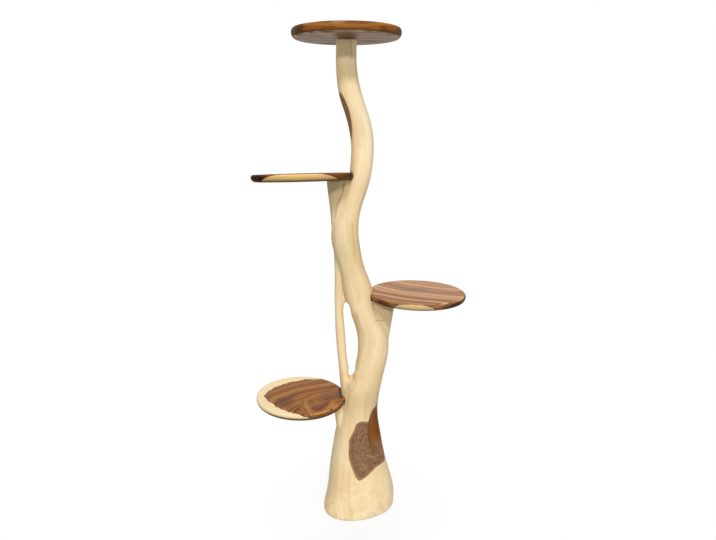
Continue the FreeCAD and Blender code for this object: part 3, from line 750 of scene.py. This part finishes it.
# Sapwood outside the heartwood's circles, paler at the top and darker towards the bottom as painted light and
# shade, and a thin dark line inside their edge
def sapColour(tree, on, look, wood, wave):
    flat = addNode(tree, "VectorMath", {0: on["board"], 1: (1, 1, 0)}, operation="MULTIPLY")
    edge = None
    for x, y, radius, growth in look["heart"]:
        away = addNode(tree, "VectorMath", {0: flat, 1: (x, y, 0)}, operation="DISTANCE", out="Value")
        limit = addNode(tree, "Math", {0: on["height"], 1: growth, 2: radius}, operation="MULTIPLY_ADD")
        left = addNode(tree, "Math", {0: limit, 1: away}, operation="SUBTRACT")
        edge = left if edge is None else addNode(tree, "Math", {0: edge, 1: left}, operation="MINIMUM")
    edge = addNode(tree, "Math", {0: wave, 1: look["heartWave"], 2: edge}, operation="MULTIPLY_ADD")
    ragged = addNode(tree, "Math", {0: on["smudge"], 1: noiseMean}, operation="SUBTRACT")
    edge = addNode(tree, "Math", {0: ragged, 1: look["ragged"], 2: edge}, operation="MULTIPLY_ADD")
    heartLine = addNode(tree, "MapRange", {"Value": edge, **look["heartLine"]})
    wood = addNode(tree, "VectorMath", {0: wood, "Scale": heartLine}, operation="SCALE")
    sapTone = addNode(tree, "MapRange", {"Value": on["fibre"], **look["sapThread"]})
    # painted light and shade: sapwood paler at the top, darker towards the foot
    lower = addNode(tree, "MapRange", {"Value": on["height"], "From Min": -on["halfThick"],
                                       "From Max": on["halfThick"], "To Min": look["sapFoot"],
                                       "To Max": look["sapTop"]})
    # painted highlight on the sapwood's upper arris, with rubbed wear
    arrisWearAndHighlight = addNode(tree, "MapRange", {"Value": on["onArris"], "To Min": 1.0, "To Max": look["sapArris"]})
    for tone in (lower, arrisWearAndHighlight):
        sapTone = addNode(tree, "Math", {0: sapTone, 1: tone}, operation="MULTIPLY")
    sap = addNode(tree, "VectorMath", {0: linear(look["sap"])[:3], "Scale": sapTone}, operation="SCALE")
    inHeart = addNode(tree, "MapRange", {"Value": edge, **look["heartBlur"]}, interpolation_type="SMOOTHSTEP")
    return addNode(tree, "Mix", {0: inHeart, 6: sap, 7: wood}, data_type="RGBA", out=2)


# The underside and the rim below it, sanded coarser, darker partly as painted shade
def underColour(tree, on, look, colour):
    dark, pale, amount, start = look["under"]
    under = addNode(tree, "MapRange", {"Value": on["upward"], "From Min": start,
                                       "From Max": start - look["underFade"], "To Max": amount},
                    interpolation_type="SMOOTHSTEP")
    sawnAt = addNode(tree, "Mapping", {"Vector": on["board"], "Rotation": (0, 0, on["grainTurn"]),
                                       "Scale": look["sawn"]}, vector_type="TEXTURE")
    sawn = addNode(tree, "TexNoise", {"Vector": sawnAt, "Scale": 1.0, "Detail": 3.0, "Roughness": 0.6})
    sawn = addNode(tree, "ValToRGB", {"Fac": sawn}, stops=list(zip(look["sawnStops"], (dark, pale))))
    sawn = addNode(tree, "VectorMath", {0: sawn, "Scale": on["thread"]}, operation="SCALE")
    sawn = stainedAndShaded(tree, on, look, sawn, look["underStains"])
    return addNode(tree, "Mix", {0: under, 6: colour, 7: sawn}, data_type="RGBA", out=2)


def boardMaterial(node, look):
    name = "rainTreeBoard" + "".join(word.capitalize() for word in node.split("_")[:-1])
    material, tree, shader = newMaterial(name, {"IOR": look["ior"], "Specular IOR Level": look["specular"]})
    on = boardSockets(tree, node, look)
    wood, wave = figureColour(tree, on, look)
    wood = rimColour(tree, on, look, wood)
    colour = sapColour(tree, on, look, wood, wave)
    colour = underColour(tree, on, look, colour)
    rough = addNode(tree, "MapRange", {"Value": on["fibre"], **look["roughness"]})
    bump = addNode(tree, "Bump", {"Height": on["fibre"], "Strength": look["bumpStrength"],
                                  "Distance": look["bumpDepth"] * mm})
    wire(tree, shader, {"Base Color": colour, "Roughness": rough, "Normal": bump})
    return material


for node in boards:
    wood = boardMaterial(node, {**boardFinish, **boardLooks[node]})
    for part in (node, node + "_front_plug", node + "_rear_plug"):   # plugs are cut from the same board
        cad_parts[part].material_slots[0].material = wood
print("boards and plugs stained")


# Beech dowel rod, turned and left bare: pale pinkish tan with short flecks. Lengths are in mm.
dowelLook = {
    "bare": {"IOR": 1.5, "Roughness": 0.6},
    "fleck": (0.8, 0.8, 6.0),
    "tones": [(0.3, "#B98A5E"), (0.5, "#D9B387"), (0.7, "#E6C9A2")],
}


def dowelMaterial(look):
    material, tree, shader = newMaterial("beechDowelTurned", look["bare"])
    place = addNode(tree, "TexCoord", out="Object")
    fleckScale = [1 / (size * mm) for size in look["fleck"]]
    fleckAt = addNode(tree, "Mapping", {"Vector": place, "Scale": fleckScale})
    fleck = addNode(tree, "TexNoise", {"Vector": fleckAt, "Scale": 1.0, "Detail": 2.0})
    colour = addNode(tree, "ValToRGB", {"Fac": fleck}, stops=look["tones"])
    wire(tree, shader, {"Base Color": colour})
    return material


# Zinc-plated steel wood screws, rolled and plated: bright grey with fine turning lines. Lengths are in mm.
screwLook = {
    "plating": {"Metallic": 1.0},
    "line": (8.0, 8.0, 0.4),
    "tones": [(0.3, "#9EA3A6"), (0.7, "#C9CDCF")],
    "roughness": {"To Min": 0.28, "To Max": 0.42},
}


def screwMaterial(look):
    material, tree, shader = newMaterial("zincPlatedSteelRolled", look["plating"])
    place = addNode(tree, "TexCoord", out="Object")
    lineScale = [1 / (size * mm) for size in look["line"]]
    lineAt = addNode(tree, "Mapping", {"Vector": place, "Scale": lineScale})
    line = addNode(tree, "TexNoise", {"Vector": lineAt, "Scale": 1.0, "Detail": 2.0})
    colour = addNode(tree, "ValToRGB", {"Fac": line}, stops=look["tones"])
    rough = addNode(tree, "MapRange", {"Value": line, **look["roughness"]})
    wire(tree, shader, {"Base Color": colour, "Roughness": rough})
    return material


dowelWood, screwSteel = dowelMaterial(dowelLook), screwMaterial(screwLook)
for name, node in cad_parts.items():
    if name.endswith("_dowel"):
        node.material_slots[0].material = dowelWood
    if name.endswith("_screw"):
        node.material_slots[0].material = screwSteel
print("dowels and screws finished")


# Studio: a low and a high sun in front and one high behind, over a floor that the camera sees nearly white.
# Lengths are in metres and angles in degrees.
studio = {
    "white": "#FFFFFF",
    "floorRadius": 4.0, "floorSides": 96, "floorColour": "#B4B2AE", "floorRoughness": 0.9,
    "shadowShare": 0.22,      # how much of the floor's own shade shows
    "shadowFade": {"From Min": 0.14, "From Max": 0.40},   # distances over which that shade ends
    "ambient": 0.37, "air": "#FFF8E8",
    "suns": {"low": {"towards": (0.06, -1.0, 0.40), "strength": 1.01, "angle": 6.0},
             "high": {"towards": (0.12, -1.0, 0.95), "strength": 1.40, "angle": 9.0},
             "back": {"towards": (-0.1, 0.8, 0.8), "strength": 0.6, "angle": 40.0}},
    "camera": {"place": (0, -1.810, 1.188), "pitch": 12.0,
               "focal": 600.0, "frame": 716.0,   # pixels
               "sensor": 36.0},   # mm
}


# Rays that see a white ground: the camera's own, and those that what it looks at reflects or lets through
def whiteRays(tree):
    path = addNode(tree, "LightPath", out=None)
    seen = path.outputs["Is Camera Ray"]
    for kind in ("Is Glossy Ray", "Is Transmission Ray"):
        seen = addNode(tree, "Math", {0: seen, 1: path.outputs[kind]}, operation="MAXIMUM")
    return seen


def makeAir(look):
    world = bpy.data.worlds.new("studioAir")
    world.use_nodes = True
    tree = world.node_tree
    tree.nodes.clear()
    air = addNode(tree, "Background", {"Color": linear(look["air"]), "Strength": look["ambient"]})
    white = addNode(tree, "Background", {"Color": linear(look["white"]), "Strength": 1.0})
    both = addNode(tree, "MixShader", {0: whiteRays(tree), 1: air, 2: white})
    addNode(tree, "OutputWorld", {"Surface": both}, out=None)
    scene.world = world


# Matt painted floor, rolled: grey in the light it throws back, white to the camera but for a soft shadow
def floorMaterial(look):
    material, tree, shader = newMaterial("paintedFloorMatt", {"Roughness": look["floorRoughness"]})
    white = linear(look["white"])
    seen = whiteRays(tree)
    paint = addNode(tree, "Mix", {0: seen, 6: linear(look["floorColour"]), 7: white}, data_type="RGBA", out=2)
    wire(tree, shader, {"Base Color": paint})
    place = addNode(tree, "TexCoord", out="Object")
    away = addNode(tree, "VectorMath", {0: place}, operation="LENGTH", out="Value")
    fade = addNode(tree, "MapRange", {"Value": away, "To Min": 1 - look["shadowShare"], **look["shadowFade"]},
                   interpolation_type="SMOOTHSTEP")
    fade = addNode(tree, "Math", {0: fade, 1: seen}, operation="MULTIPLY")
    glow = addNode(tree, "Emission", {"Color": white, "Strength": 1.0})
    both = addNode(tree, "MixShader", {0: fade, 1: shader.outputs[0], 2: glow})
    tree.links.new(both, tree.nodes["Material Output"].inputs["Surface"])
    return material


def makeFloor(look):
    bm = bmesh.new()
    bmesh.ops.create_circle(bm, cap_ends=True, segments=look["floorSides"], radius=look["floorRadius"])
    mesh = bpy.data.meshes.new("floor")
    bm.to_mesh(mesh)
    bm.free()
    floor = bpy.data.objects.new("floor", mesh)
    scene.collection.objects.link(floor)
    mesh.materials.append(floorMaterial(look))


def makeSuns(suns):
    for name, light in suns.items():
        sun = bpy.data.lights.new(name + "Sun", "SUN")
        sun.energy = light["strength"]
        sun.angle = math.radians(light["angle"])
        stand = bpy.data.objects.new(name + "Sun", sun)
        stand.rotation_euler = Vector(light["towards"]).to_track_quat("Z", "Y").to_euler()
        scene.collection.objects.link(stand)


def makeCamera(shot):
    lens = bpy.data.cameras.new("camera")
    lens.sensor_width = shot["sensor"]
    lens.lens = lens.sensor_width * shot["focal"] / shot["frame"]
    camera = bpy.data.objects.new("camera", lens)
    camera.location = shot["place"]
    camera.rotation_euler = (math.radians(90 - shot["pitch"]), 0, 0)
    scene.collection.objects.link(camera)
    scene.camera = camera


makeAir(studio)
makeFloor(studio)
makeSuns(studio["suns"])
makeCamera(studio["camera"])
scene.view_settings.view_transform = "Standard"
print("studio ready")

bpy.context.view_layer.update()
